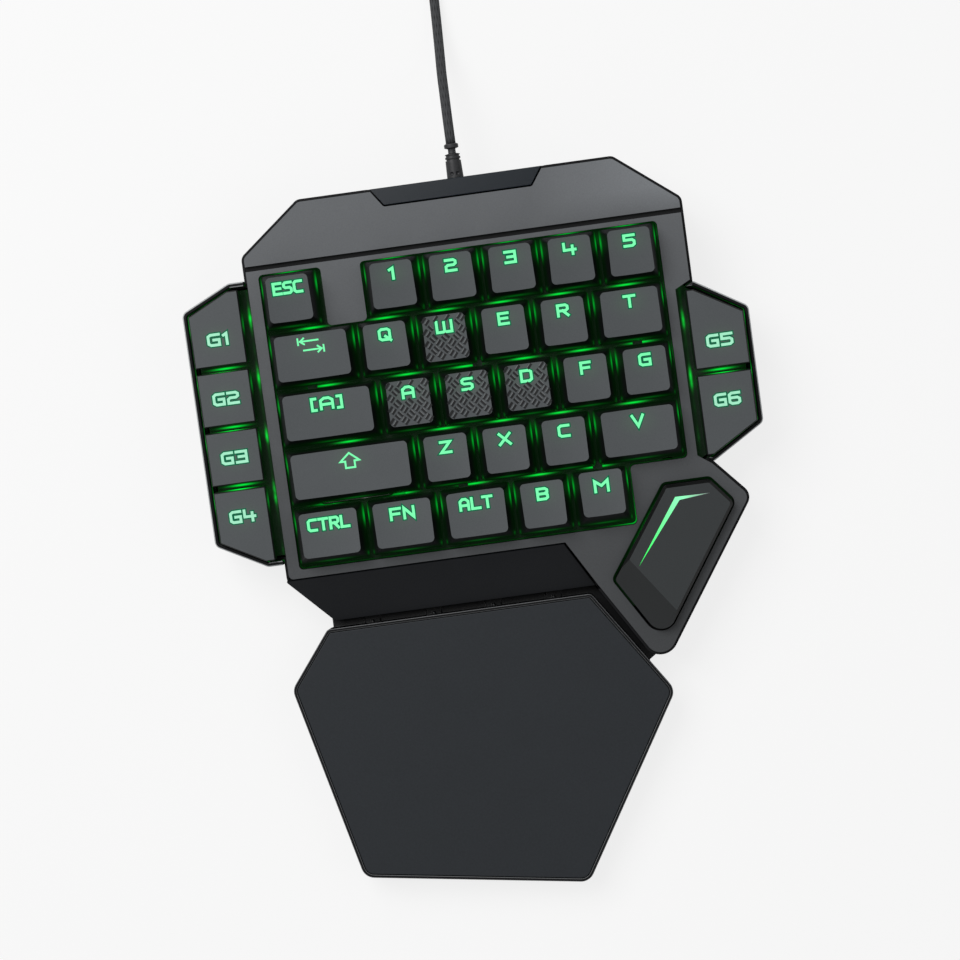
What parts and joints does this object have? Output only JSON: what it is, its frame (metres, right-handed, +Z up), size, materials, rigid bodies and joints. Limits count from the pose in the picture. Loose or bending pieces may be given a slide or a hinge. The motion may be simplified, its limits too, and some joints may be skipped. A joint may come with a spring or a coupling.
{
  "type": "gaming keypad",
  "caption": "One-handed gaming keypad with lit mechanical keys, side macro keys, a thumb key, a removable palm rest and a braided USB lead.",
  "frame": {"origin": "centre of the object's own box, without its cord, on the surface it stands on", "axes": "+X to the right along the key rows, +Y away from the user towards the cord, +Z up; the key deck rises 4 degrees towards +Y"},
  "size_m": [0.1804, 0.3836, 0.0356],
  "materials": {
    "case": "fine satin texture, near black",
    "cover": "matte grey paint with a very fine grain",
    "bezel": "satin black with a light line along its top edge",
    "gloss_trim": "glossy blue-black",
    "keycap": "matte grey top, dark sides, lit legend",
    "thumb_key": "satin black",
    "light_bar": "translucent, lit green",
    "palm_base": "satin black",
    "palm_pad": "soft-touch, smooth and dark",
    "rubber_feet": "matte",
    "switch_plate": "black powder coat",
    "circuit_board": "dark green solder mask",
    "switches": "moulded black",
    "springs": "bright wire",
    "lights": "clear, lit green",
    "screws": "black zinc",
    "strain_relief": "moulded, satin",
    "cord": "braided sleeve",
    "tie": "woven hook-and-loop strap",
    "plug_grip": "satin black",
    "plug_shell": "nickel plated"
  },
  "bodies": {
    "case": {"bottom_case": "case", "case_feet": "rubber_feet", "circuit_board": "circuit_board", "cord_tie": "tie", "front_panel": "case", "key_lights": "lights", "key_springs": "springs", "left_bezel": "bezel", "rear_accent": "gloss_trim", "right_bezel": "bezel", "screws": "screws", "stabiliser_housings": "switches", "strain_relief": "strain_relief", "switch_housings": "switches", "switch_plate": "switch_plate", "top_cover": "cover", "usb_cord": "cord", "usb_cord_coil": "cord", "usb_plug_grip": "plug_grip", "usb_plug_shell": "plug_shell"},
    "key_1": {"key_1": "keycap"},
    "key_2": {"key_2": "keycap"},
    "key_3": {"key_3": "keycap"},
    "key_4": {"key_4": "keycap"},
    "key_5": {"key_5": "keycap"},
    "key_a": {"key_a": "keycap"},
    "key_alt": {"key_alt": "keycap"},
    "key_b": {"key_b": "keycap"},
    "key_c": {"key_c": "keycap"},
    "key_caps": {"key_caps": "keycap"},
    "key_ctrl": {"key_ctrl": "keycap"},
    "key_d": {"key_d": "keycap"},
    "key_e": {"key_e": "keycap"},
    "key_esc": {"key_esc": "keycap"},
    "key_f": {"key_f": "keycap"},
    "key_fn": {"key_fn": "keycap"},
    "key_g": {"key_g": "keycap"},
    "key_g1": {"key_g1": "keycap"},
    "key_g2": {"key_g2": "keycap"},
    "key_g3": {"key_g3": "keycap"},
    "key_g4": {"key_g4": "keycap"},
    "key_g5": {"key_g5": "keycap"},
    "key_g6": {"key_g6": "keycap"},
    "key_m": {"key_m": "keycap"},
    "key_q": {"key_q": "keycap"},
    "key_r": {"key_r": "keycap"},
    "key_s": {"key_s": "keycap"},
    "key_shift": {"key_shift": "keycap"},
    "key_t": {"key_t": "keycap"},
    "key_tab": {"key_tab": "keycap"},
    "key_thumb": {"key_thumb": "thumb_key", "thumb_light_bar": "light_bar"},
    "key_v": {"key_v": "keycap"},
    "key_w": {"key_w": "keycap"},
    "key_x": {"key_x": "keycap"},
    "key_z": {"key_z": "keycap"},
    "stabiliser_wire": {"stabiliser_wire": "springs"},
    "palm_rest": {"palm_rest_base": "palm_base", "palm_rest_pad": "palm_pad", "palm_rest_feet": "rubber_feet"}
  },
  "joints": [
    {"name": "press_1", "type": "slide", "parent": "case", "child": "key_1", "axis": [0, 0.0698, -0.9976], "range_m": [0, 0.0036], "stiffness_N_per_m": 180, "springref_m": -0.002, "deforming": ["key_springs"]},
    {"name": "press_2", "type": "slide", "parent": "case", "child": "key_2", "axis": [0, 0.0698, -0.9976], "range_m": [0, 0.0036], "stiffness_N_per_m": 180, "springref_m": -0.002, "deforming": ["key_springs"]},
    {"name": "press_3", "type": "slide", "parent": "case", "child": "key_3", "axis": [0, 0.0698, -0.9976], "range_m": [0, 0.0036], "stiffness_N_per_m": 180, "springref_m": -0.002, "deforming": ["key_springs"]},
    {"name": "press_4", "type": "slide", "parent": "case", "child": "key_4", "axis": [0, 0.0698, -0.9976], "range_m": [0, 0.0036], "stiffness_N_per_m": 180, "springref_m": -0.002, "deforming": ["key_springs"]},
    {"name": "press_5", "type": "slide", "parent": "case", "child": "key_5", "axis": [0, 0.0698, -0.9976], "range_m": [0, 0.0036], "stiffness_N_per_m": 180, "springref_m": -0.002, "deforming": ["key_springs"]},
    {"name": "press_a", "type": "slide", "parent": "case", "child": "key_a", "axis": [0, 0.0698, -0.9976], "range_m": [0, 0.0036], "stiffness_N_per_m": 180, "springref_m": -0.002, "deforming": ["key_springs"]},
    {"name": "press_alt", "type": "slide", "parent": "case", "child": "key_alt", "axis": [0, 0.0698, -0.9976], "range_m": [0, 0.0036], "stiffness_N_per_m": 180, "springref_m": -0.002, "deforming": ["key_springs"]},
    {"name": "press_b", "type": "slide", "parent": "case", "child": "key_b", "axis": [0, 0.0698, -0.9976], "range_m": [0, 0.0036], "stiffness_N_per_m": 180, "springref_m": -0.002, "deforming": ["key_springs"]},
    {"name": "press_c", "type": "slide", "parent": "case", "child": "key_c", "axis": [0, 0.0698, -0.9976], "range_m": [0, 0.0036], "stiffness_N_per_m": 180, "springref_m": -0.002, "deforming": ["key_springs"]},
    {"name": "press_caps", "type": "slide", "parent": "case", "child": "key_caps", "axis": [0, 0.0698, -0.9976], "range_m": [0, 0.0036], "stiffness_N_per_m": 180, "springref_m": -0.002, "deforming": ["key_springs"]},
    {"name": "press_ctrl", "type": "slide", "parent": "case", "child": "key_ctrl", "axis": [0, 0.0698, -0.9976], "range_m": [0, 0.0036], "stiffness_N_per_m": 180, "springref_m": -0.002, "deforming": ["key_springs"]},
    {"name": "press_d", "type": "slide", "parent": "case", "child": "key_d", "axis": [0, 0.0698, -0.9976], "range_m": [0, 0.0036], "stiffness_N_per_m": 180, "springref_m": -0.002, "deforming": ["key_springs"]},
    {"name": "press_e", "type": "slide", "parent": "case", "child": "key_e", "axis": [0, 0.0698, -0.9976], "range_m": [0, 0.0036], "stiffness_N_per_m": 180, "springref_m": -0.002, "deforming": ["key_springs"]},
    {"name": "press_esc", "type": "slide", "parent": "case", "child": "key_esc", "axis": [0, 0.0698, -0.9976], "range_m": [0, 0.0036], "stiffness_N_per_m": 180, "springref_m": -0.002, "deforming": ["key_springs"]},
    {"name": "press_f", "type": "slide", "parent": "case", "child": "key_f", "axis": [0, 0.0698, -0.9976], "range_m": [0, 0.0036], "stiffness_N_per_m": 180, "springref_m": -0.002, "deforming": ["key_springs"]},
    {"name": "press_fn", "type": "slide", "parent": "case", "child": "key_fn", "axis": [0, 0.0698, -0.9976], "range_m": [0, 0.0036], "stiffness_N_per_m": 180, "springref_m": -0.002, "deforming": ["key_springs"]},
    {"name": "press_g", "type": "slide", "parent": "case", "child": "key_g", "axis": [0, 0.0698, -0.9976], "range_m": [0, 0.0036], "stiffness_N_per_m": 180, "springref_m": -0.002, "deforming": ["key_springs"]},
    {"name": "press_g1", "type": "slide", "parent": "case", "child": "key_g1", "axis": [0, 0.0698, -0.9976], "range_m": [0, 0.0036], "stiffness_N_per_m": 180, "springref_m": -0.002, "deforming": ["key_springs"]},
    {"name": "press_g2", "type": "slide", "parent": "case", "child": "key_g2", "axis": [0, 0.0698, -0.9976], "range_m": [0, 0.0036], "stiffness_N_per_m": 180, "springref_m": -0.002, "deforming": ["key_springs"]},
    {"name": "press_g3", "type": "slide", "parent": "case", "child": "key_g3", "axis": [0, 0.0698, -0.9976], "range_m": [0, 0.0036], "stiffness_N_per_m": 180, "springref_m": -0.002, "deforming": ["key_springs"]},
    {"name": "press_g4", "type": "slide", "parent": "case", "child": "key_g4", "axis": [0, 0.0698, -0.9976], "range_m": [0, 0.0036], "stiffness_N_per_m": 180, "springref_m": -0.002, "deforming": ["key_springs"]},
    {"name": "press_g5", "type": "slide", "parent": "case", "child": "key_g5", "axis": [0, 0.0698, -0.9976], "range_m": [0, 0.0036], "stiffness_N_per_m": 180, "springref_m": -0.002, "deforming": ["key_springs"]},
    {"name": "press_g6", "type": "slide", "parent": "case", "child": "key_g6", "axis": [0, 0.0698, -0.9976], "range_m": [0, 0.0036], "stiffness_N_per_m": 180, "springref_m": -0.002, "deforming": ["key_springs"]},
    {"name": "press_m", "type": "slide", "parent": "case", "child": "key_m", "axis": [0, 0.0698, -0.9976], "range_m": [0, 0.0036], "stiffness_N_per_m": 180, "springref_m": -0.002, "deforming": ["key_springs"]},
    {"name": "press_q", "type": "slide", "parent": "case", "child": "key_q", "axis": [0, 0.0698, -0.9976], "range_m": [0, 0.0036], "stiffness_N_per_m": 180, "springref_m": -0.002, "deforming": ["key_springs"]},
    {"name": "press_r", "type": "slide", "parent": "case", "child": "key_r", "axis": [0, 0.0698, -0.9976], "range_m": [0, 0.0036], "stiffness_N_per_m": 180, "springref_m": -0.002, "deforming": ["key_springs"]},
    {"name": "press_s", "type": "slide", "parent": "case", "child": "key_s", "axis": [0, 0.0698, -0.9976], "range_m": [0, 0.0036], "stiffness_N_per_m": 180, "springref_m": -0.002, "deforming": ["key_springs"]},
    {"name": "press_shift", "type": "slide", "parent": "case", "child": "key_shift", "axis": [0, 0.0698, -0.9976], "range_m": [0, 0.0036], "stiffness_N_per_m": 180, "springref_m": -0.002, "deforming": ["key_springs"]},
    {"name": "press_t", "type": "slide", "parent": "case", "child": "key_t", "axis": [0, 0.0698, -0.9976], "range_m": [0, 0.0036], "stiffness_N_per_m": 180, "springref_m": -0.002, "deforming": ["key_springs"]},
    {"name": "press_tab", "type": "slide", "parent": "case", "child": "key_tab", "axis": [0, 0.0698, -0.9976], "range_m": [0, 0.0036], "stiffness_N_per_m": 180, "springref_m": -0.002, "deforming": ["key_springs"]},
    {"name": "press_thumb", "type": "slide", "parent": "case", "child": "key_thumb", "axis": [0, 0.0698, -0.9976], "range_m": [0, 0.0036], "stiffness_N_per_m": 180, "springref_m": -0.002, "deforming": ["key_springs"]},
    {"name": "press_v", "type": "slide", "parent": "case", "child": "key_v", "axis": [0, 0.0698, -0.9976], "range_m": [0, 0.0036], "stiffness_N_per_m": 180, "springref_m": -0.002, "deforming": ["key_springs"]},
    {"name": "press_w", "type": "slide", "parent": "case", "child": "key_w", "axis": [0, 0.0698, -0.9976], "range_m": [0, 0.0036], "stiffness_N_per_m": 180, "springref_m": -0.002, "deforming": ["key_springs"]},
    {"name": "press_x", "type": "slide", "parent": "case", "child": "key_x", "axis": [0, 0.0698, -0.9976], "range_m": [0, 0.0036], "stiffness_N_per_m": 180, "springref_m": -0.002, "deforming": ["key_springs"]},
    {"name": "press_z", "type": "slide", "parent": "case", "child": "key_z", "axis": [0, 0.0698, -0.9976], "range_m": [0, 0.0036], "stiffness_N_per_m": 180, "springref_m": -0.002, "deforming": ["key_springs"]},
    {"name": "stabiliser_turn", "type": "hinge", "parent": "case", "child": "stabiliser_wire", "pos_m": [-0.04297, 0.01202, 0.01589], "axis": [1, 0, 0], "range_deg": [-21.44, 0]},
    {"name": "palm_rest_pull", "type": "slide", "parent": "case", "child": "palm_rest", "axis": [0, -1, 0], "range_m": [0, 0.02]}
  ],
  "couplings": [
    {"joint": "stabiliser_turn", "follows": "press_shift", "rad_per_m": -102.97}
  ]
}
